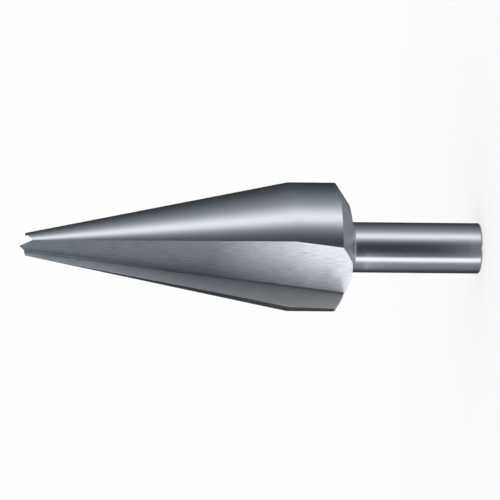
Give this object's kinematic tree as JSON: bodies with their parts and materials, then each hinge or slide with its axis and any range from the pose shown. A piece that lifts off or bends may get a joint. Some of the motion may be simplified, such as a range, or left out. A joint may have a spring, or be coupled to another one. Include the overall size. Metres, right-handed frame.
{
  "type": "cone drill bit",
  "caption": "Conical drill bit with a plain round shank, straight V flutes along its cone, a short cylindrical band, a rear chamfer and a ground point.",
  "frame": {"origin": "centre of the shank's flat end face, which is the bottom of the part", "axes": "+Z along the axis of rotation from the shank to the point; -Y is the side that a flute opens on; +X makes the frame right-handed"},
  "size_m": [0.0204, 0.0198, 0.0735],
  "materials": {
    "tool_steel": "ground bright high-speed steel"
  },
  "bodies": {
    "root": {"cone_drill": "tool_steel"}
  },
  "joints": []
}
